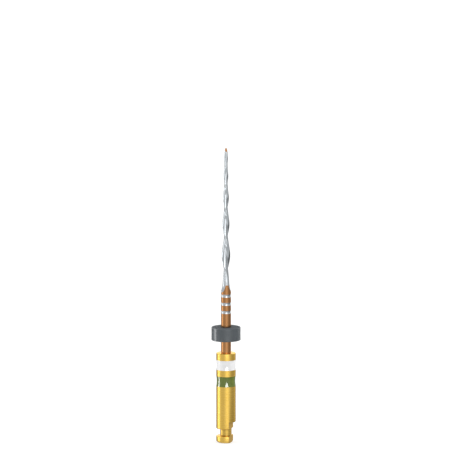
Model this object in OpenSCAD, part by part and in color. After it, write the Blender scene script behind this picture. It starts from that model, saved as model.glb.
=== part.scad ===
// Reciprocating nickel-titanium root canal file with a contra-angle latch handle.
// The origin is the centre of the handle's end face, and +Z runs along the file to its tip.

/* [Handle] */
// Diameter of the latch shank
shank_d = 2.35; // [2:0.05:3]
// Length of the handle, from the knob's end face to the top face
handle_len = 11; // [10.8:0.1:14]
// Height of the knob that the latch plate hooks over
knob_h = 0.84; // [0.7:0.01:1.1]
// Diameter of the neck above the knob
neck_d = 1.39; // [1.3:0.01:1.6]
// Length of the neck
neck_len = 0.87; // [0.7:0.01:1.2]
// How far the end face's crowned edge reaches in from the side
crown_w = 0.44; // [0.2:0.01:0.5]
// Height of the crowned edge at the end face
crown_h = 0.28; // [0.1:0.01:0.4]
// Rounding of the knob's upper edge
knob_round = 0.1; // [0.02:0.01:0.15]
// Rounding of the shank's lower edge, above the neck
foot_round = 0.12; // [0.05:0.01:0.3]
// Rounding of the handle's top edge
top_round = 0.12; // [0.03:0.01:0.3]

/* [Drive flat] */
// Distance from the axis to the drive flat
flat_dist = 0.636; // [0.5:0.002:0.66]
// Height of the flat's shoulder above the end face
flat_len = 2.53; // [2.2:0.01:3.5]
// Angle of the flat's normal about +Z, from +X
flat_turn = -14.8; // [-90:0.1:90]
// Rounding of the shoulder's outer edge
shoulder_round = 0.1; // [0.03:0.01:0.2]

/* [Colour bands] */
// Width of the plain ring between the white band and the handle's top face
top_ring = 0.86; // [0.5:0.02:1.2]
// Width of the white band along the handle
white_h = 1.19; // [0.6:0.01:1.4]
// Width of the plain ring between the two bands
mid_ring = 0.78; // [0.4:0.02:1.2]
// Width of the green band along the handle
green_h = 1.24; // [0.6:0.02:1.6]
// Depth of the grooves that hold the bands
groove_depth = 0.25; // [0.18:0.01:0.35]
// How far a band's face sinks below the shank at mid-width
band_sink = 0.06; // [0.02:0.01:0.15]

/* [Shaft] */
// Diameter of the shaft
shaft_d = 1.2; // [1:0.02:1.3]
// Length of the tang inside the handle
tang_len = 5; // [3:0.1:7]
// Chamfer at the tang's end
tang_chamfer = 0.12; // [0.05:0.01:0.2]
// Distances of the depth rings from the tip
ring_marks = [18, 19, 20, 22]; // [18:1:24]
// Width of a depth ring
ring_w = 0.35; // [0.2:0.01:0.5]
// Depth of a depth ring
ring_depth = 0.05; // [0.02:0.01:0.08]

/* [Blade] */
// Distance from the handle's top face to the tip
file_len = 25; // [23:0.5:31]
// Length of the flutes, from the tip to the end of their run-out
flute_len = 17.7; // [14:0.1:17.75]
// Diameter that the blade's taper gives at the tip
tip_d = 0.41; // [0.2:0.01:0.5]
// Growth of the diameter per millimetre from the tip
taper = 0.0474; // [0.02:0.0002:0.06]
// Diameter of the core at the tip, at the bottom of the flutes
core_d = 0.38; // [0.3:0.01:0.4]
// Growth of the core's diameter per millimetre from the tip
core_taper = 0.003; // [0:0.001:0.01]
// Diameter of the blunt end of the tip
tip_end_d = 0.18; // [0.06:0.02:0.24]
// Length of the rounded tip
tip_round = 1.1; // [0.3:0.05:1.5]
// Pitch of the left-hand helix at the tip
tip_pitch = 2.72; // [2:0.02:5]
// Pitch of the left-hand helix where its twist ends
root_pitch = 9.05; // [6:0.05:14]
// Distance from the tip to the end of the twist
twist_len = 16.55; // [12:0.05:17]
// Length over which the twist fades out
twist_fade = 2; // [1:0.1:4]
// Length over which the flutes run out to the shaft
run_out = 2.4; // [1.5:0.05:5]
// How much sooner a flute's face runs out than its back
run_out_lean = 1.2; // [0:0.1:1.5]
// Angle of the narrow land behind a cutting edge
land_angle = 10; // [0:1:15]
// Angle from a cutting edge over the back to the flute's floor
back_angle = 101; // [90:1:120]
// Angle from a cutting edge to the far side of the flute's floor
floor_angle = 125; // [122:1:150]
// Angle of the first cutting edge about +Z at the tip
edge_turn = -146; // [-180:1:180]

/* [Depth stop] */
// Diameter of the stop
stop_d = 3.52; // [2.8:0.02:4.5]
// Thickness of the stop
stop_h = 1.58; // [1:0.02:2]
// Gap between the handle and the stop as supplied
stop_gap = 1.56; // [0.5:0.01:3]
// Rounding of the stop's edges
stop_round = 0.07; // [0.03:0.01:0.3]
// How far the stop's side sinks at mid-height
stop_sink = 0.01; // [0.01:0.01:0.1]

/* [Fits] */
// Radial thickness of the adhesive around the tang
glue_w = 0.04; // [0.02:0.01:0.08]
// Adhesive below the tang's end
glue_floor = 0.1; // [0.05:0.01:0.3]
// Radial clearance of the stop on the shaft
stop_clear = 0.02; // [0.01:0.005:0.06]

/* [Hidden] */

FINE = 96;
EDGE_STEPS = 6;
BLADE_SIDES = 40;
BLADE_STEP = 0.2;
JOIN_LIP = 0.02;
JOIN_INSET = 0.003;
PLUG_H = 0.12;
DRILL_ANGLE = 31;
BACK_POWER = 1.07;
FACE_FOOT_POWER = 2.1;
FACE_TOP_POWER = 1.1;
RUN_OUT_POWER = 2.6;
AIR = 1;

shank_r = shank_d / 2;
shaft_r = shaft_d / 2;
neck_top = knob_h + neck_len;
bore_r = shaft_r + glue_w;
bore_floor = handle_len - tang_len - glue_floor;
groove_r = shank_r - groove_depth;
white_z = handle_len - top_ring - white_h;
green_z = white_z - mid_ring - green_h;
tip_z = handle_len + file_len;
shaft_end = tip_z - flute_len;
stop_z = handle_len + stop_gap;

// Points of a quarter ellipse round (x, z), from angle a0 to a1
function quarter(x, z, rx, rz, a0, a1) =
    [for (i = [0 : EDGE_STEPS])
        let (a = a0 + (a1 - a0) * i / EDGE_STEPS)
        [x + rx * cos(a), z + rz * sin(a)]];

// Radius of an arc with a given chord and sagitta
function arc_radius(chord, rise) = (chord * chord / 4 + rise * rise) / (2 * rise);

// ---- Handle ----

// Half section of the knob, neck and foot, up to a given height
module lower_section(top) {
    polygon(concat(
        [[0, 0]],
        quarter(shank_r - crown_w, crown_h, crown_w, crown_h, -90, 0),
        quarter(shank_r - knob_round, knob_h - knob_round, knob_round, knob_round, 0, 90),
        [[neck_d / 2, knob_h], [neck_d / 2, neck_top]],
        quarter(shank_r - foot_round, neck_top + foot_round, foot_round, foot_round, -90, 0),
        [[shank_r, top], [0, top]]));
}

// Half section of the shank above the drive flat's shoulder
module upper_section() {
    polygon(concat(
        [[0, flat_len]],
        quarter(shank_r - shoulder_round, flat_len + shoulder_round,
            shoulder_round, shoulder_round, -90, 0),
        quarter(shank_r - top_round, handle_len - top_round, top_round, top_round, 0, 90),
        [[0, handle_len]]));
}

module drive_flat_cut(top) {
    rotate([0, 0, flat_turn])
        translate([flat_dist, -shank_d, -AIR])
            cube([shank_d, 2 * shank_d, top + 2 * AIR]);
}

module band_groove(z, h) {
    translate([groove_r, z])
        square([groove_depth + AIR, h]);
}

// Blind bore with a drilled point
module tang_bore() {
    translate([0, 0, bore_floor])
        cylinder(r = bore_r, h = tang_len + glue_floor + AIR, $fn = FINE);
    translate([0, 0, bore_floor - bore_r * tan(DRILL_ANGLE)])
        cylinder(r1 = 0, r2 = bore_r, h = bore_r * tan(DRILL_ANGLE), $fn = FINE);
}

module latch_handle() {
    lap = flat_len + shoulder_round;
    color("goldenrod")
        difference() {
            union() {
                rotate_extrude($fn = FINE)
                    difference() {
                        upper_section();
                        band_groove(green_z, green_h);
                        band_groove(white_z, white_h);
                    }
                difference() {
                    rotate_extrude($fn = FINE) lower_section(lap);
                    drive_flat_cut(lap);
                }
            }
            tang_bore();
        }
}

// Ring that fills a groove, with a hollowed face
module band(z, h) {
    face_r = arc_radius(h, band_sink);
    rotate_extrude($fn = FINE)
        difference() {
            translate([groove_r, z])
                square([groove_depth, h]);
            translate([shank_r - band_sink + face_r, z + h / 2])
                circle(r = face_r, $fn = FINE);
        }
}

module green_band() {
    color("darkolivegreen") band(green_z, green_h);
}

module white_band() {
    color("whitesmoke") band(white_z, white_h);
}

// Cured adhesive: a thin cup that fills the bore round the tang
module bond_adhesive() {
    tang_end = handle_len - tang_len;
    color("tan")
        difference() {
            intersection() {
                tang_bore();
                cylinder(r = shank_r, h = handle_len, $fn = FINE);
            }
            tang(tang_end, handle_len + AIR);
        }
}

// ---- Wire ----

// Plain round wire with a chamfered lower end
module tang(from_z, to_z) {
    rotate_extrude($fn = FINE)
        polygon([[0, from_z], [shaft_r - tang_chamfer, from_z],
            [shaft_r, from_z + tang_chamfer], [shaft_r, to_z], [0, to_z]]);
}

// Shallow hollow ring, ground round the shaft
module depth_ring(z) {
    ring_r = arc_radius(ring_w, ring_depth);
    rotate_extrude($fn = FINE)
        intersection() {
            translate([shaft_r - ring_depth + ring_r, z])
                circle(r = ring_r, $fn = FINE);
            translate([shaft_r - 2 * ring_depth, z - ring_w])
                square([4 * ring_depth, 2 * ring_w]);
        }
}

// Distance along the blade that still twists, at distance l from the tip
function twisted(l) =
    let (start = twist_len - twist_fade, t = min(max((l - start) / twist_fade, 0), 1))
    l < start ? l : start + twist_fade * (t - t * t / 2);

// Turn of the section about the axis, in degrees, for a pitch whose square grows evenly
function blade_turn(l) =
    let (growth = (pow(root_pitch, 2) - pow(tip_pitch, 2)) / twist_len)
    edge_turn + 2 * 360 * (sqrt(pow(tip_pitch, 2) + growth * twisted(l)) - tip_pitch) / growth;

// Radius of the cutting edge at distance l from the tip
function edge_r(l) =
    let (t = 1 - min(l / tip_round, 1), r = min((tip_d + taper * l) / 2, shaft_r - JOIN_INSET))
    (tip_end_d + (2 * r - tip_end_d) * (1 - t * t)) / 2;

// Radius of the core at distance l from the tip
function core_r(l) = min((core_d + core_taper * l) / 2, edge_r(l));

// How far the grinding wheel has left the core, at angle a from a cutting edge
function lift(a, l) =
    let (start = flute_len - run_out - run_out_lean * (a - back_angle) / 180)
    (shaft_r - core_d / 2) * pow(max((l - start) / run_out, 0), RUN_OUT_POWER);

// Height of the section between core (0) and cutting edge (1), at angle a from an edge:
// a narrow land, a nearly straight back, the flute's floor and a steep face
function section_rise(a) =
    a < land_angle ? 1
        : a < back_angle ? pow((back_angle - a) / (back_angle - land_angle), BACK_POWER)
        : a < floor_angle ? 0
        : face_rise((a - floor_angle) / (180 - floor_angle));

function face_rise(t) =
    pow(t, FACE_FOOT_POWER) / (pow(t, FACE_FOOT_POWER) + pow(1 - t, FACE_TOP_POWER));

function blade_r(a, l) =
    min(edge_r(l), core_r(l) + (edge_r(l) - core_r(l)) * section_rise(a) + lift(a, l));

// Ring of points whose first point follows a cutting edge
function blade_ring(l) =
    [for (i = [0 : BLADE_SIDES - 1])
        let (a = 360 * i / BLADE_SIDES, r = blade_r(a % 180, l), turn = a + blade_turn(l))
        [r * cos(turn), r * sin(turn), tip_z - l]];

function round_ring(r, z) =
    [for (i = [0 : BLADE_SIDES - 1])
        let (turn = 360 * i / BLADE_SIDES + blade_turn(flute_len))
        [r * cos(turn), r * sin(turn), z]];

// Fluted blade from the tip down to a short plug inside the shaft's end
module blade() {
    steps = ceil(flute_len / BLADE_STEP);
    rings = concat(
        [for (i = [0 : steps]) blade_ring((flute_len + JOIN_LIP) * i / steps)],
        [round_ring(core_d / 2, shaft_end - JOIN_LIP - PLUG_H)]);
    count = len(rings);
    n = BLADE_SIDES;
    points = concat([[0, 0, tip_z]], [for (ring = rings) each ring]);
    faces = concat(
        [for (i = [0 : n - 1]) [0, 1 + (i + 1) % n, 1 + i]],
        [for (k = [0 : count - 2], i = [0 : n - 1])
            let (a = 1 + k * n, b = a + n, j = (i + 1) % n)
            each [[a + i, a + j, b + i], [a + j, b + j, b + i]]],
        [[for (i = [0 : n - 1]) 1 + (count - 1) * n + i]]);
    polyhedron(points = points, faces = faces, convexity = 6);
}

module file_wire() {
    color("peru")
        union() {
            difference() {
                tang(handle_len - tang_len, shaft_end);
                for (mark = ring_marks)
                    if (tip_z - mark > handle_len + ring_w)
                        depth_ring(tip_z - mark);
            }
            blade();
        }
}

// ---- Stop ----

module silicone_stop() {
    side_r = arc_radius(stop_h - 2 * stop_round, stop_sink);
    color("dimgray")
        rotate_extrude($fn = FINE)
            difference() {
                polygon(concat(
                    [[shaft_r + stop_clear, stop_z + stop_h], [shaft_r + stop_clear, stop_z]],
                    quarter(stop_d / 2 - stop_round, stop_z + stop_round,
                        stop_round, stop_round, -90, 0),
                    quarter(stop_d / 2 - stop_round, stop_z + stop_h - stop_round,
                        stop_round, stop_round, 0, 90)));
                translate([stop_d / 2 - stop_sink + side_r, stop_z + stop_h / 2])
                    circle(r = side_r, $fn = 4 * FINE);
            }
}

file_wire();
latch_handle();
green_band();
white_band();
silicone_stop();
bond_adhesive();
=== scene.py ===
import math

import bmesh
import bpy
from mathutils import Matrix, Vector


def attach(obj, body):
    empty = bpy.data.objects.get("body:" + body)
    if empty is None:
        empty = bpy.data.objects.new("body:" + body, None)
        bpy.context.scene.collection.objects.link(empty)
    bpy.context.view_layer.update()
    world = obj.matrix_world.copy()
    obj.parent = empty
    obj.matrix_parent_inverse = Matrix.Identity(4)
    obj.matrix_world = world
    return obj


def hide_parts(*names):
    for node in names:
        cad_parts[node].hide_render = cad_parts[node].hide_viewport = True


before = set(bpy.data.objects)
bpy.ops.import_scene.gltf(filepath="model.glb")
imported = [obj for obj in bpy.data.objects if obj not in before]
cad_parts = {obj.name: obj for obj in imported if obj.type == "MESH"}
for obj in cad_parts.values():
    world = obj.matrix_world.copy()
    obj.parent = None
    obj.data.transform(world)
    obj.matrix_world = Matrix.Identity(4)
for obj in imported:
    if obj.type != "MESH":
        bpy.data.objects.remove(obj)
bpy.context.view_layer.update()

MM = 0.001

# ---- Sizes, in millimetres, as in the part's source ----

SHANK_R = 1.175
HANDLE_LEN = 11.0
KNOB_H = 0.84
NECK_R = 0.695
NECK_TOP = 1.71
CROWN_W, CROWN_H = 0.44, 0.28
KNOB_ROUND = 0.1
FOOT_ROUND = 0.12
TOP_ROUND = 0.12
FLAT_DIST = 0.636
FLAT_LEN = 2.53
FLAT_TURN = -14.8
SHOULDER_ROUND = 0.1
FLAT_EDGE = 0.02
BORE_R = 0.64
BORE_FLOOR = 5.9
GROOVE_R = 0.925
BANDS = {"green_band": (6.93, 1.24), "white_band": (8.95, 1.19)}
BAND_SINK = 0.06

SHAFT_R = 0.6
TANG_END = 6.0
TANG_CHAMFER = 0.12
TIP_Z = 36.0
RING_MARKS = (22, 20, 19, 18)
RING_W, RING_DEPTH = 0.35, 0.05

FLUTE_LEN = 17.7
TIP_D, TAPER = 0.41, 0.0474
CORE_D, CORE_TAPER = 0.38, 0.003
TIP_END_D, TIP_ROUND = 0.18, 1.1
BROWN_TIP, BROWN_LEAN = 0.38, 0.14
TIP_PITCH, ROOT_PITCH = 2.72, 9.05
TWIST_LEN, TWIST_FADE = 16.55, 2.0
RUN_OUT, RUN_OUT_LEAN, RUN_OUT_POWER = 2.4, 1.2, 2.6
LAND_ANGLE, BACK_ANGLE, FLOOR_ANGLE = 10.0, 101.0, 125.0
BACK_POWER, FACE_FOOT_POWER, FACE_TOP_POWER = 1.07, 2.1, 1.1
EDGE_TURN = -146.0

STOP_R = 1.76
STOP_BORE_R = 0.62
STOP_Z, STOP_H = 12.56, 1.58
STOP_ROUND, STOP_SINK = 0.07, 0.01

# ---- Mesh steps and tolerances ----

# Numbers of steps round the pieces, along their curves and round the blade's section
SIDES = 144
ROUND_STEPS, SMALL_ROUND_STEPS, CROWN_STEPS = 8, 5, 12
BAND_STEPS, RING_STEPS, STOP_SIDE_STEPS = 16, 8, 10
LAND_STEPS, BACK_STEPS, FACE_STEPS = 24, 28, 24
HALF_STEPS = 2 * LAND_STEPS + BACK_STEPS + FACE_STEPS
WIRE_SIDES = 2 * HALF_STEPS
# Distance between the blade's rings, in millimetres
BLADE_STEP = 0.06
# Degrees from each edge of the drive flat at which the handle has more points
FLAT_EDGE_TURNS = (-1.6, -0.9, -0.4, 0, 0.4, 0.9, 1.6)
# Gap in millimetres under which points are joined
WELD = 0.002
# Search for the land's edge: accuracy of the radius in millimetres, tries, least width in degrees
FLANK_TOLERANCE, FLANK_HALVINGS = 0.00002, 24
LEAST_LAND = 0.5
# Distance from the tip, in millimetres, at which the tapered blank has the shaft's size
FULL_SIZE = (2 * SHAFT_R - TIP_D) / TAPER
# Angles in degrees above which an edge stays sharp
SHARP, WIRE_SHARP, HANDLE_SHARP = 30, 12, 32
# Least upright share of the normal of a face that counts as level
LEVEL_NORMAL = 0.9
# Material numbers on the wire and on the stop
OXIDE_SLOT, GROUND_SLOT = 0, 1
SIDE_SLOT, FACE_SLOT = 0, 1


# ---- Mesh helpers ----

def quarter(x, z, rx, rz, a0, a1, steps=ROUND_STEPS):
    """Points of a quarter ellipse round (x, z), from angle a0 to a1 in degrees."""
    points = []
    for i in range(steps + 1):
        a = math.radians(a0 + (a1 - a0) * i / steps)
        points.append((x + rx * math.cos(a), z + rz * math.sin(a)))
    return points


def hollow(r, z0, z1, sink, steps=BAND_STEPS):
    """Points up the face of a groove or waist: a circular arc that sinks below radius r."""
    chord = z1 - z0
    arc_r = (chord * chord / 4 + sink * sink) / (2 * sink)
    middle = (z0 + z1) / 2
    points = []
    for i in range(steps + 1):
        z = z0 + chord * i / steps
        points.append((r - sink + arc_r - math.sqrt(arc_r ** 2 - (z - middle) ** 2), z))
    return points


def weld(mesh):
    """Joins points that lie together, so that no face is a sliver."""
    work = bmesh.new()
    work.from_mesh(mesh)
    bmesh.ops.remove_doubles(work, verts=work.verts, dist=WELD * MM)
    work.to_mesh(mesh)
    work.free()


def new_piece(name, points, faces, materials, sharp=SHARP, slots=()):
    """Smooth piece with edges sharper than an angle kept; slots holds each face's material number."""
    mesh = bpy.data.meshes.new(name)
    mesh.from_pydata([Vector(p) * MM for p in points], [], faces)
    for material in materials:
        mesh.materials.append(material)
    if slots:
        mesh.polygons.foreach_set("material_index", slots)
    weld(mesh)
    mesh.shade_smooth()
    mesh.set_sharp_from_angle(angle=math.radians(sharp))
    piece = bpy.data.objects.new(name, mesh)
    bpy.context.scene.collection.objects.link(piece)
    return piece


def bridge(rings, closed=False):
    """Quads between rings of equal length. A closed sweep joins the last ring to the first."""
    n = len(rings[0])
    points = [p for ring in rings for p in ring]
    faces = []
    last = len(rings) if closed else len(rings) - 1
    for k in range(last):
        a, b = k * n, ((k + 1) % len(rings)) * n
        for i in range(n):
            j = (i + 1) % n
            faces.append((a + i, a + j, b + j, b + i))
    return points, faces


def cap(points, faces, start, n, centre, flip):
    """Fan from a centre point to one ring."""
    points.append(centre)
    middle = len(points) - 1
    for i in range(n):
        edge = (start + i, start + (i + 1) % n)
        faces.append((middle, *(reversed(edge) if flip else edge)))


def circle(r, z):
    """Points of a level circle."""
    return [(r * math.cos(math.tau * i / SIDES), r * math.sin(math.tau * i / SIDES), z)
            for i in range(SIDES)]


def lathe(name, profile, material):
    """Closed ring from a closed profile of (radius, height), listed anticlockwise in the (r, z) plane."""
    points, faces = bridge([circle(r, z) for r, z in profile], closed=True)
    return new_piece(name, points, faces, [material])


# ---- Materials ----

# Levels of the noise between which colours and roughnesses change
NOISE_LOW, NOISE_HIGH = 0.3, 0.7


def new_material(name):
    """New material with its nodes, links and main shader."""
    material = bpy.data.materials.new(name)
    material.use_nodes = True
    nodes, links = material.node_tree.nodes, material.node_tree.links
    return material, nodes, links, nodes["Principled BSDF"]


def streaks(nodes, links, per_metre, detail):
    """Noise in object space, with its number of waves per metre along X, Y and Z."""
    coords = nodes.new("ShaderNodeTexCoord")
    mapping = nodes.new("ShaderNodeMapping")
    mapping.inputs["Scale"].default_value = per_metre
    noise = nodes.new("ShaderNodeTexNoise")
    noise.inputs["Scale"].default_value = 1.0
    noise.inputs["Detail"].default_value = detail
    links.new(coords.outputs["Object"], mapping.inputs["Vector"])
    links.new(mapping.outputs["Vector"], noise.inputs["Vector"])
    return noise.outputs["Fac"]


def ramp(nodes, links, fac, stops):
    """Colour by level, from stops of (level, colour)."""
    node = nodes.new("ShaderNodeValToRGB")
    elements = node.color_ramp.elements
    while len(elements) < len(stops):
        elements.new(0.5)
    for element, (place, colour) in zip(elements, stops):
        element.position = place
        element.color = (*colour, 1.0)
    links.new(fac, node.inputs["Fac"])
    return node.outputs["Color"]


def mottled(nodes, links, noise, dark, light, low=NOISE_LOW, high=NOISE_HIGH):
    """Colour that goes from dark to light as the noise goes from low to high."""
    return ramp(nodes, links, noise, [(low, dark), (high, light)])


def span(nodes, links, fac, low, high):
    """Maps the noise to a range of roughness."""
    node = nodes.new("ShaderNodeMapRange")
    node.inputs["From Min"].default_value = NOISE_LOW
    node.inputs["From Max"].default_value = NOISE_HIGH
    node.inputs["To Min"].default_value = low
    node.inputs["To Max"].default_value = high
    links.new(fac, node.inputs["Value"])
    return node.outputs["Result"]


def bump(nodes, links, height, shader, strength, distance_mm):
    """Raises and sinks the shader's surface by the noise."""
    node = nodes.new("ShaderNodeBump")
    node.inputs["Strength"].default_value = strength
    node.inputs["Distance"].default_value = distance_mm * MM
    links.new(height, node.inputs["Height"])
    links.new(node.outputs["Normal"], shader.inputs["Normal"])


def painted_recess_shade(nodes, links, colour, reach_mm):
    """The colour, darkened by painted shade where the piece closes in on itself."""
    node = nodes.new("ShaderNodeAmbientOcclusion")
    node.only_local = True
    node.inputs["Distance"].default_value = reach_mm * MM
    links.new(colour, node.inputs["Color"])
    return node.outputs["Color"]


def gold_material():
    """Gold plate under a thin clear seal, over fine turning lines that run round the handle, with painted
    shade in its recesses.
    """
    material, nodes, links, shader = new_material("gold_plate")
    lines = streaks(nodes, links, per_metre=(150, 150, 25000), detail=1.0)
    patches = streaks(nodes, links, per_metre=(500, 500, 500), detail=3.0)
    colour = mottled(nodes, links, patches, dark=(0.94, 0.605, 0.11), light=(0.98, 0.64, 0.128))
    # Painted shade: the gold's colour darkens where the handle closes in on itself, as at the neck and
    # under the foot.
    links.new(painted_recess_shade(nodes, links, colour, reach_mm=0.6), shader.inputs["Base Color"])
    links.new(span(nodes, links, lines, low=0.25, high=0.28), shader.inputs["Roughness"])
    bump(nodes, links, lines, shader, strength=0.03, distance_mm=0.0002)
    shader.inputs["Metallic"].default_value = 1.0
    shader.inputs["Specular Tint"].default_value = (0.95, 0.72, 0.35, 1.0)
    shader.inputs["Coat Weight"].default_value = 0.5
    shader.inputs["Coat Roughness"].default_value = 0.15
    shader.inputs["Coat IOR"].default_value = 1.5
    return material


def oxide_material():
    """Copper-brown oxide on drawn wire, with faint drawing lines along the wire."""
    material, nodes, links, shader = new_material("niti_oxide")
    lines = streaks(nodes, links, per_metre=(25000, 25000, 150), detail=1.0)
    patches = streaks(nodes, links, per_metre=(900, 900, 500), detail=3.0)
    colour = mottled(nodes, links, patches, dark=(0.49, 0.233, 0.092), light=(0.565, 0.277, 0.113))
    links.new(colour, shader.inputs["Base Color"])
    links.new(span(nodes, links, lines, low=0.18, high=0.23), shader.inputs["Roughness"])
    bump(nodes, links, lines, shader, strength=0.04, distance_mm=0.0004)
    shader.inputs["Metallic"].default_value = 1.0
    shader.inputs["Specular Tint"].default_value = (0.85, 0.6, 0.4, 1.0)
    return material


def ground_material():
    """Bright nickel-titanium with grinding lines across the flutes."""
    material, nodes, links, shader = new_material("niti_ground")
    lines = streaks(nodes, links, per_metre=(1500, 1500, 30000), detail=1.0)
    patches = streaks(nodes, links, per_metre=(1200, 1200, 600), detail=3.0)
    colour = mottled(nodes, links, patches, dark=(0.60, 0.64, 0.67), light=(0.66, 0.70, 0.73))
    links.new(colour, shader.inputs["Base Color"])
    links.new(span(nodes, links, lines, low=0.12, high=0.17), shader.inputs["Roughness"])
    bump(nodes, links, lines, shader, strength=0.03, distance_mm=0.0002)
    shader.inputs["Metallic"].default_value = 1.0
    return material


def enamel_material(name, dark, light):
    """Glossy baked enamel with a slightly uneven colour and surface."""
    material, nodes, links, shader = new_material(name)
    patches = streaks(nodes, links, per_metre=(3500, 3500, 3500), detail=5.0)
    colour = mottled(nodes, links, patches, dark, light, low=0.35, high=0.65)
    links.new(colour, shader.inputs["Base Color"])
    waves = streaks(nodes, links, per_metre=(1200, 1200, 1200), detail=2.0)
    links.new(span(nodes, links, patches, low=0.10, high=0.16), shader.inputs["Roughness"])
    bump(nodes, links, waves, shader, strength=0.03, distance_mm=0.002)
    shader.inputs["Coat Weight"].default_value = 1.0
    shader.inputs["Coat Roughness"].default_value = 0.08
    shader.inputs["Coat IOR"].default_value = 1.6
    shader.inputs["Specular IOR Level"].default_value = 0.0
    return material


def silicone_material(name, dark, light, gloss, smooth, rough):
    """Grey silicone with a fine moulded grain."""
    material, nodes, links, shader = new_material(name)
    grain = streaks(nodes, links, per_metre=(12000, 12000, 12000), detail=6.0)
    patches = streaks(nodes, links, per_metre=(1200, 1200, 1200), detail=3.0)
    colour = mottled(nodes, links, patches, dark, light)
    links.new(colour, shader.inputs["Base Color"])
    links.new(span(nodes, links, grain, low=smooth, high=rough), shader.inputs["Roughness"])
    bump(nodes, links, grain, shader, strength=0.04, distance_mm=0.001)
    shader.inputs["Specular IOR Level"].default_value = gloss
    return material


def adhesive_material():
    """Cured adhesive, slightly clouded."""
    material, nodes, links, shader = new_material("clear_adhesive")
    clouds = streaks(nodes, links, per_metre=(2000, 2000, 2000), detail=4.0)
    colour = mottled(nodes, links, clouds, dark=(0.55, 0.40, 0.18), light=(0.72, 0.56, 0.28))
    links.new(colour, shader.inputs["Base Color"])
    links.new(span(nodes, links, clouds, low=0.2, high=0.35), shader.inputs["Roughness"])
    return material


gold = gold_material()
oxide = oxide_material()
ground = ground_material()
green_enamel = enamel_material(
    "green_enamel", dark=(0.111, 0.151, 0.022), light=(0.133, 0.18, 0.027))
white_enamel = enamel_material(
    "white_enamel", dark=(0.85, 0.85, 0.855), light=(0.875, 0.875, 0.88))
silicone_side = silicone_material(
    "grey_silicone", dark=(0.066, 0.079, 0.089), light=(0.076, 0.089, 0.099),
    gloss=0.8, smooth=0.2, rough=0.24)
# Painted light: the stop's top and bottom get a lighter grey than its side, set for how bright they read
# under the lamps; their matt finish is real.
silicone_face_painted_lighter = silicone_material(
    "grey_silicone_matte_painted_lighter", dark=(0.083, 0.095, 0.104), light=(0.093, 0.105, 0.114),
    gloss=0.02, smooth=0.6, rough=0.7)


# ---- Wire: blade, shaft with depth rings, tang ----

def twisted(l):
    """Distance along the blade that still twists, at distance l from the tip."""
    start = TWIST_LEN - TWIST_FADE
    if l < start:
        return l
    t = min((l - start) / TWIST_FADE, 1.0)
    return start + TWIST_FADE * (t - t * t / 2)


def blade_turn(l):
    """Direction of one cutting edge, in degrees about +Z."""
    growth = (ROOT_PITCH ** 2 - TIP_PITCH ** 2) / TWIST_LEN
    return EDGE_TURN + 2 * 360 * (math.sqrt(TIP_PITCH ** 2 + growth * twisted(l)) - TIP_PITCH) / growth


def full_r(l):
    """Radius of the tapered blank at distance l from the tip."""
    return min((TIP_D + TAPER * l) / 2, SHAFT_R)


def edge_r(l):
    """Radius of the cutting edge at distance l from the tip, with the rounded tip."""
    t = 1 - min(l / TIP_ROUND, 1.0)
    return (TIP_END_D + (2 * full_r(l) - TIP_END_D) * (1 - t * t)) / 2


def lift(a, l):
    """How far the grinding wheel has left the core, at section angle a."""
    start = FLUTE_LEN - RUN_OUT - RUN_OUT_LEAN * (a - BACK_ANGLE) / 180
    return (SHAFT_R - CORE_D / 2) * max((l - start) / RUN_OUT, 0) ** RUN_OUT_POWER


def section_rise(a):
    """Height of the section, 0 at the core and 1 at a cutting edge: land, back, floor, face."""
    if a <= LAND_ANGLE:
        return 1
    if a < BACK_ANGLE:
        return ((BACK_ANGLE - a) / (BACK_ANGLE - LAND_ANGLE)) ** BACK_POWER
    if a < FLOOR_ANGLE:
        return 0
    t = (a - FLOOR_ANGLE) / (180 - FLOOR_ANGLE)
    return t ** FACE_FOOT_POWER / (t ** FACE_FOOT_POWER + (1 - t) ** FACE_TOP_POWER)


def ground_radius(a, l):
    """Radius that grinding leaves at section angle a, or more where the wheel misses the blank."""
    core = min((CORE_D + CORE_TAPER * l) / 2, edge_r(l))
    return core + (edge_r(l) - core) * section_rise(a) + lift(a, l)


def flank_end(l, low, high):
    """Section angle between low, in the flute, and high, on the blank, where the flute ends."""
    for _ in range(FLANK_HALVINGS):
        middle = (low + high) / 2
        if ground_radius(middle, l) < full_r(l) - FLANK_TOLERANCE:
            low = middle
        else:
            high = middle
    return high


def section_angles(l):
    """Section angles over half a turn: land, back, flute and face, land."""
    back_start = flank_end(l, BACK_ANGLE, LAND_ANGLE)
    face_end = min(flank_end(l, BACK_ANGLE, 180), 180 - LEAST_LAND)
    stretches = [(0, back_start, LAND_STEPS), (back_start, BACK_ANGLE, BACK_STEPS),
                 (BACK_ANGLE, face_end, FACE_STEPS), (face_end, 180, LAND_STEPS)]
    return [a0 + (a1 - a0) * i / steps for a0, a1, steps in stretches for i in range(steps)]


def blade_ring(l):
    """Points round the blade at distance l from the tip, from a cutting edge on."""
    turn = blade_turn(l)
    ring = []
    for half in (0, 180):
        for a in section_angles(l):
            r = min(ground_radius(a, l), edge_r(l))
            t = math.radians(a + half + turn)
            ring.append((r * math.cos(t), r * math.sin(t), TIP_Z - l))
    return ring


def shaft_profile():
    """Outline of the shaft from the blade's root down to the tang's end, and which bands are ground."""
    outline, bright = [], []
    for mark in sorted(RING_MARKS):
        centre = TIP_Z - mark
        steps = hollow(SHAFT_R, centre - RING_W / 2, centre + RING_W / 2, RING_DEPTH, RING_STEPS)
        for i, (r, z) in enumerate(reversed(steps)):
            outline.append((r, z))
            bright.append(i < len(steps) - 1)
    outline.append((SHAFT_R, TANG_END + TANG_CHAMFER))
    bright.append(False)
    outline.append((SHAFT_R - TANG_CHAMFER, TANG_END))
    bright.append(False)
    return outline, bright


def is_land(i):
    """Whether face i of a ring lies on the land at either side of a cutting edge."""
    step = i % HALF_STEPS
    return step < LAND_STEPS or step >= HALF_STEPS - LAND_STEPS


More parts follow.
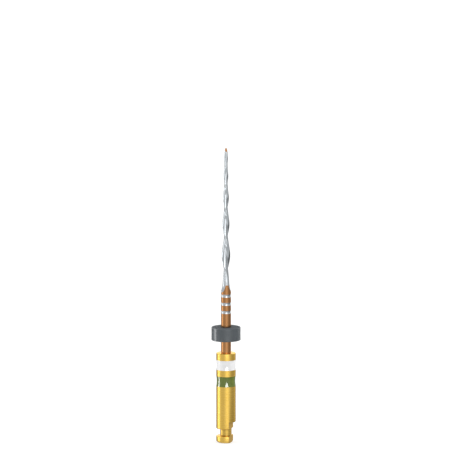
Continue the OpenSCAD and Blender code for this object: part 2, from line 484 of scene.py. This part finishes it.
def keeps_oxide(face, points, i):
    """The brown skin stays at the very tip and where the wheel missed the full-size blank."""
    x, y, z = (sum(points[corner][axis] for corner in face) / len(face) for axis in range(3))
    l = TIP_Z - z
    tip_edge = BROWN_TIP + BROWN_LEAN * x / math.hypot(x, y)
    return l < tip_edge or (is_land(i) and l > FULL_SIZE)


def make_wire():
    """The blade, the shaft with its ground rings and the tang, as one closed mesh."""
    count = round(FLUTE_LEN / BLADE_STEP)
    levels = [FLUTE_LEN * i / count for i in range(count + 1)]
    rings = [blade_ring(l) for l in levels]
    turn = blade_turn(FLUTE_LEN)
    angles = [math.radians(a + half + turn) for half in (0, 180) for a in section_angles(FLUTE_LEN)]
    outline, bright = shaft_profile()
    rings += [[(r * math.cos(t), r * math.sin(t), z) for t in angles] for r, z in outline]
    points, faces = bridge(rings)
    faces = [face[::-1] for face in faces]
    blade_bands = len(levels)
    slots = []
    for k in range(len(rings) - 1):
        for i in range(WIRE_SIDES):
            if k < blade_bands - 1:
                brown = keeps_oxide(faces[k * WIRE_SIDES + i], points, i)
            else:
                shaft_band = k - blade_bands
                brown = shaft_band < 0 or not bright[shaft_band]
            slots.append(OXIDE_SLOT if brown else GROUND_SLOT)
    cap(points, faces, 0, WIRE_SIDES, (0, 0, TIP_Z), flip=False)
    cap(points, faces, (len(rings) - 1) * WIRE_SIDES, WIRE_SIDES, (0, 0, TANG_END), flip=True)
    slots += [OXIDE_SLOT] * (2 * WIRE_SIDES)
    return new_piece("wire", points, faces, [oxide, ground], WIRE_SHARP, slots)


# ---- Handle ----

def flat_limit(angle, r):
    """Radius of the shank cut by the drive flat, with a small rounding where the two meet."""
    across = math.cos(math.radians(angle - FLAT_TURN))
    if across <= 0:
        return r
    plane = FLAT_DIST / across
    mix = max(min(0.5 + 0.5 * (plane - r) / (2 * FLAT_EDGE), 1.0), 0.0)
    return plane * (1 - mix) + r * mix - FLAT_EDGE * mix * (1 - mix)


def handle_angles():
    """Even steps round the handle, closer together at the drive flat's two edges."""
    corner = math.degrees(math.acos(FLAT_DIST / SHANK_R))
    angles = [360 * i / SIDES for i in range(SIDES)]
    for side in (-1, 1):
        edge = FLAT_TURN + side * corner
        angles += [edge + offset for offset in FLAT_EDGE_TURNS]
    return sorted(a % 360 for a in angles)


def make_handle():
    """The handle from the knob up, down into its bore, as one closed mesh."""
    angles = handle_angles()
    n = len(angles)

    def ring(radius_at, z):
        return [(radius_at(a) * math.cos(math.radians(a)), radius_at(a) * math.sin(math.radians(a)), z)
                for a in angles]

    def cut_ring(r, z):
        return ring(lambda a: flat_limit(a, r), z)

    lower = quarter(SHANK_R - CROWN_W, CROWN_H, CROWN_W, CROWN_H, -90, 0, CROWN_STEPS)
    lower += quarter(SHANK_R - KNOB_ROUND, KNOB_H - KNOB_ROUND, KNOB_ROUND, KNOB_ROUND,
                     0, 90, SMALL_ROUND_STEPS)
    lower += [(NECK_R, KNOB_H), (NECK_R, NECK_TOP)]
    lower += quarter(SHANK_R - FOOT_ROUND, NECK_TOP + FOOT_ROUND, FOOT_ROUND, FOOT_ROUND, -90, 0)
    lower += [(SHANK_R, FLAT_LEN)]
    rings = [cut_ring(r, z) for r, z in lower]
    for r, z in quarter(SHANK_R - SHOULDER_ROUND, FLAT_LEN + SHOULDER_ROUND,
                        SHOULDER_ROUND, SHOULDER_ROUND, -90, 0, SMALL_ROUND_STEPS):
        rings.append(ring(lambda a, r=r: max(r, flat_limit(a, SHANK_R)), z))
    upper = []
    for z, h in BANDS.values():
        upper += [(SHANK_R, z), (GROOVE_R, z), (GROOVE_R, z + h), (SHANK_R, z + h)]
    upper += quarter(SHANK_R - TOP_ROUND, HANDLE_LEN - TOP_ROUND, TOP_ROUND, TOP_ROUND, 0, 90)
    upper += [(BORE_R, HANDLE_LEN), (BORE_R, BORE_FLOOR)]
    rings += [ring(lambda a, r=r: r, z) for r, z in upper]
    points, faces = bridge(rings)
    cap(points, faces, 0, n, (0, 0, 0), flip=True)
    cap(points, faces, (len(rings) - 1) * n, n, (0, 0, BORE_FLOOR), flip=False)
    return new_piece("handle", points, faces, [gold], HANDLE_SHARP)


# ---- Bands and stop ----

def make_band(name, material):
    """Enamel that fills one groove, with a hollow face."""
    z, h = BANDS[name]
    profile = hollow(SHANK_R, z, z + h, BAND_SINK) + [(GROOVE_R, z + h), (GROOVE_R, z)]
    return lathe(name + "_fill", profile, material)


def make_stop():
    """The depth stop, matt on its top and bottom, where its grey is painted lighter than on its side."""
    top = STOP_Z + STOP_H
    profile = quarter(STOP_R - STOP_ROUND, STOP_Z + STOP_ROUND, STOP_ROUND, STOP_ROUND, -90, 0)
    profile += hollow(STOP_R, STOP_Z + STOP_ROUND, top - STOP_ROUND, STOP_SINK, STOP_SIDE_STEPS)[1:-1]
    profile += quarter(STOP_R - STOP_ROUND, top - STOP_ROUND, STOP_ROUND, STOP_ROUND, 0, 90)
    profile += [(STOP_BORE_R, top), (STOP_BORE_R, STOP_Z)]
    stop = lathe("depth_stop", profile, silicone_side)
    stop.data.materials.append(silicone_face_painted_lighter)
    # Level faces take the matt silicone with its painted lighter grey.
    for face in stop.data.polygons:
        face.material_index = FACE_SLOT if abs(face.normal.z) > LEVEL_NORMAL else SIDE_SLOT
    return stop


def dress(piece, body, node):
    """Puts a piece on its body, in place of its CAD node."""
    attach(piece, body)
    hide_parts(node)


green_fill = make_band("green_band", green_enamel)
white_fill = make_band("white_band", white_enamel)
depth_stop = make_stop()
dress(make_wire(), "file", "file_wire")
dress(make_handle(), "file", "latch_handle")
dress(green_fill, "file", "green_band")
dress(white_fill, "file", "white_band")
dress(depth_stop, "stop", "silicone_stop")

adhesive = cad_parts["bond_adhesive"]
adhesive.data.materials.clear()
adhesive.data.materials.append(adhesive_material())


# ---- Floor, light and camera ----

# Half the floor's width in millimetres, its grey, and the grey and glow that the camera sees
FLOOR_SIZE = 400
FLOOR_COLOUR, FLOOR_ROUGHNESS = 0.8, 0.9
FLOOR_SEEN, FLOOR_GLOW = 0.4, 0.62


def make_floor():
    """Pale floor that keeps the shadow and blends into the white ground."""
    size = FLOOR_SIZE * MM
    mesh = bpy.data.meshes.new("floor")
    mesh.from_pydata([(-size, -size, 0), (size, -size, 0), (size, size, 0), (-size, size, 0)],
                     [], [(0, 1, 2, 3)])
    floor = bpy.data.objects.new("floor", mesh)
    bpy.context.scene.collection.objects.link(floor)
    material, nodes, links, shader = new_material("floor")
    shader.inputs["Base Color"].default_value = (*[FLOOR_COLOUR] * 3, 1)
    shader.inputs["Roughness"].default_value = FLOOR_ROUGHNESS
    mesh.materials.append(material)
    path = nodes.new("ShaderNodeLightPath")
    seen = nodes.new("ShaderNodeBsdfDiffuse")
    seen.inputs["Color"].default_value = (*[FLOOR_SEEN] * 3, 1)
    glow = nodes.new("ShaderNodeEmission")
    glow.inputs["Strength"].default_value = FLOOR_GLOW
    both = nodes.new("ShaderNodeAddShader")
    pick = nodes.new("ShaderNodeMixShader")
    links.new(seen.outputs["BSDF"], both.inputs[0])
    links.new(glow.outputs["Emission"], both.inputs[1])
    links.new(path.outputs["Is Camera Ray"], pick.inputs["Fac"])
    links.new(shader.outputs["BSDF"], pick.inputs[1])
    links.new(both.outputs["Shader"], pick.inputs[2])
    links.new(pick.outputs["Shader"], nodes["Material Output"].inputs["Surface"])
    floor.visible_glossy = False


# White ground as glossy surfaces see it, dimmed by grey cards that stand round the object:
# degrees from the viewer, towards +X, and level
CARDS = [(-180, 0.02), (-154, 0.15), (-125, 0.68), (-106, 0.98), (-80, 0.92), (-60, 0.66),
         (-45, 0.64), (-30, 0.61), (-18, 0.70), (-4, 0.88), (12, 0.98), (30, 1.0), (45, 0.74),
         (60, 0.47), (80, 0.41), (105, 0.34), (121, 0.6), (136, 0.52), (152, 0.47),
         (168, 0.1), (180, 0.02)]
# The same lower down
LOW_CARDS = [(-180, 0.2), (-120, 0.5), (-60, 0.55), (24, 0.6), (50, 0.12), (130, 0.1), (180, 0.2)]
# Sines of the heights over which the ceiling, the low cards and the underside take over
CEILING_SINES, CEILING_LEVEL = (0.02, 0.16), 0.6
LOW_SINES = (-0.22, -0.5)
UNDER_SINES, UNDER_LEVEL = (-0.6, -0.9), 0.75
# The same for the light that falls on matt surfaces, and its gain from the horizon to the top
AMBIENT = [(-180, 0.5), (-99, 1.12), (-9, 0.2), (81, 1.22), (180, 0.5)]
AMBIENT_RISE = 0.9


def math_node(nodes, links, operation, value, *others):
    """Result of an operation on an output and on others, each a number or an output."""
    node = nodes.new("ShaderNodeMath")
    node.operation = operation
    links.new(value, node.inputs[0])
    for i, other in enumerate(others):
        if isinstance(other, (int, float)):
            node.inputs[i + 1].default_value = other
        else:
            links.new(other, node.inputs[i + 1])
    return node.outputs["Value"]


def levels_round(nodes, links, levels):
    """Grey level by direction round the object, and the direction's height as a sine."""
    coords = nodes.new("ShaderNodeTexCoord")
    split = nodes.new("ShaderNodeSeparateXYZ")
    links.new(coords.outputs["Generated"], split.inputs["Vector"])
    towards_viewer = math_node(nodes, links, "MULTIPLY", split.outputs["Y"], -1)
    turn = math_node(nodes, links, "ARCTAN2", split.outputs["X"], towards_viewer)
    place = math_node(nodes, links, "MULTIPLY_ADD", turn, 1 / math.tau, 0.5)
    stops = [((angle + 180) / 360, (grey, grey, grey)) for angle, grey in levels]
    return ramp(nodes, links, place, stops), split.outputs["Z"]


def over_heights(nodes, links, sine, span_of_sines, level, other):
    """Changes one grey level for another, a number or an output, between two heights."""
    height = nodes.new("ShaderNodeMapRange")
    height.inputs["From Min"].default_value, height.inputs["From Max"].default_value = span_of_sines
    links.new(sine, height.inputs["Value"])
    mix = nodes.new("ShaderNodeMix")
    links.new(height.outputs["Result"], mix.inputs["Factor"])
    links.new(level, mix.inputs["A"])
    if isinstance(other, float):
        mix.inputs["B"].default_value = other
    else:
        links.new(other, mix.inputs["B"])
    return mix.outputs["Result"]


def carded_ground(nodes, links):
    """Grey level of the white ground with its cards, ceiling and underside, by direction."""
    level, sine = levels_round(nodes, links, CARDS)
    low_level, _ = levels_round(nodes, links, LOW_CARDS)
    level = over_heights(nodes, links, sine, CEILING_SINES, level, CEILING_LEVEL)
    level = over_heights(nodes, links, sine, LOW_SINES, level, low_level)
    return over_heights(nodes, links, sine, UNDER_SINES, level, UNDER_LEVEL)


def ambient_light(nodes, links):
    """White light, stronger from both sides and from above."""
    level, sine = levels_round(nodes, links, AMBIENT)
    rise = math_node(nodes, links, "MAXIMUM", sine, 0.0)
    above = math_node(nodes, links, "MULTIPLY_ADD", rise, AMBIENT_RISE, 1.0)
    return math_node(nodes, links, "MULTIPLY", level, above)


def make_world():
    """Light for matt surfaces, the carded ground for glossy ones and plain white for the camera."""
    world = bpy.data.worlds.new("studio")
    bpy.context.scene.world = world
    world.use_nodes = True
    nodes, links = world.node_tree.nodes, world.node_tree.links
    ambient = nodes["Background"]
    links.new(ambient_light(nodes, links), ambient.inputs["Color"])
    glossy = nodes.new("ShaderNodeBackground")
    links.new(carded_ground(nodes, links), glossy.inputs["Color"])
    white = nodes.new("ShaderNodeBackground")
    white.inputs["Color"].default_value = (1, 1, 1, 1)
    path = nodes.new("ShaderNodeLightPath")
    straight = math_node(nodes, links, "MAXIMUM", path.outputs["Is Camera Ray"],
                         path.outputs["Is Transmission Ray"])
    shader = ambient.outputs["Background"]
    for fac, background in ((path.outputs["Is Glossy Ray"], glossy), (straight, white)):
        pick = nodes.new("ShaderNodeMixShader")
        links.new(fac, pick.inputs["Fac"])
        links.new(shader, pick.inputs[1])
        links.new(background.outputs["Background"], pick.inputs[2])
        shader = pick.outputs["Shader"]
    links.new(shader, nodes["World Output"].inputs["Surface"])


# Height that the lamps aim at, in millimetres
LAMP_AIM_Z = 14.0


def make_lamp(name, azimuth, elevation, width_deg, height_deg, level,
              shape="RECTANGLE", distance=2.0, pieces=(), matt=True):
    """Soft box, a distance in metres away, with its direction, width and height in degrees.

    It lights only the given pieces, where there are any, and only gloss where matt is False."""
    a, e = math.radians(azimuth), math.radians(elevation)
    out = Vector((math.sin(a) * math.cos(e), -math.cos(a) * math.cos(e), math.sin(e)))
    data = bpy.data.lights.new(name, "AREA")
    data.shape = shape
    data.size = 2 * distance * math.tan(math.radians(width_deg / 2))
    data.size_y = 2 * distance * math.tan(math.radians(height_deg / 2))
    area = data.size * data.size_y * (math.pi / 4 if shape == "ELLIPSE" else 1)
    data.energy = level * math.pi * area
    lamp = bpy.data.objects.new(name, data)
    bpy.context.scene.collection.objects.link(lamp)
    lamp.location = out * distance + Vector((0, 0, LAMP_AIM_Z * MM))
    lamp.rotation_mode = "QUATERNION"
    lamp.rotation_quaternion = out.to_track_quat("Z", "Y")
    lamp.visible_camera = False
    lamp.visible_diffuse = matt
    if pieces:
        lamp.light_linking.receiver_collection = bpy.data.collections.new(name + "_pieces")
        for piece in pieces:
            lamp.light_linking.receiver_collection.objects.link(piece)


# Camera's angle above the horizon in degrees, its lens, the width that it frames at the object,
# the height that it aims at, all in millimetres, and the range in metres that it sees
CAMERA_HEIGHT_DEG = 9.6
LENS_MM, SENSOR_MM = 1000.0, 36.0
FRAME_WIDTH_MM = 54.5
AIM_Z = 26.5
CLIP_NEAR, CLIP_FAR = 0.01, 10


def make_camera():
    """Long lens that looks down on the object from the front."""
    data = bpy.data.cameras.new("camera")
    data.lens = LENS_MM
    data.sensor_width = SENSOR_MM
    camera = bpy.data.objects.new("camera", data)
    bpy.context.scene.collection.objects.link(camera)
    tilt = math.radians(CAMERA_HEIGHT_DEG)
    distance = FRAME_WIDTH_MM * MM * LENS_MM / SENSOR_MM
    aim = Vector((0, 0, AIM_Z * MM))
    back = Vector((0, -math.cos(tilt), math.sin(tilt)))
    camera.location = aim + back * distance
    camera.rotation_mode = "QUATERNION"
    camera.rotation_quaternion = (-back).to_track_quat("-Z", "Y")
    data.clip_start, data.clip_end = CLIP_NEAR, CLIP_FAR
    bpy.context.scene.camera = camera


make_floor()
make_world()
make_lamp("side_strip", azimuth=-94, elevation=15, width_deg=14, height_deg=100, level=1.6)
make_lamp("back_box", azimuth=180, elevation=24, width_deg=90, height_deg=40, level=0.9, matt=False)
make_lamp("front_dish", azimuth=12, elevation=27, width_deg=46, height_deg=66, level=1.0,
          shape="ELLIPSE", matt=False)
# Lamps at one distance hide each other from gloss, so these stand nearer
make_lamp("front_spot", azimuth=13, elevation=24, width_deg=12, height_deg=40, level=1.2,
          shape="ELLIPSE", distance=1.8, matt=False)
make_lamp("side_glint", azimuth=-96, elevation=14, width_deg=24, height_deg=86, level=9.0,
          shape="ELLIPSE", distance=1.6, pieces=(green_fill,), matt=False)
make_lamp("stop_glint", azimuth=-96, elevation=14, width_deg=24, height_deg=86, level=2.2,
          shape="ELLIPSE", distance=1.6, pieces=(depth_stop,), matt=False)
make_lamp("front_glint", azimuth=10, elevation=28, width_deg=38, height_deg=72, level=13.0,
          shape="ELLIPSE", distance=1.6, pieces=(green_fill, white_fill), matt=False)
make_camera()
bpy.context.scene.view_settings.view_transform = "Standard"
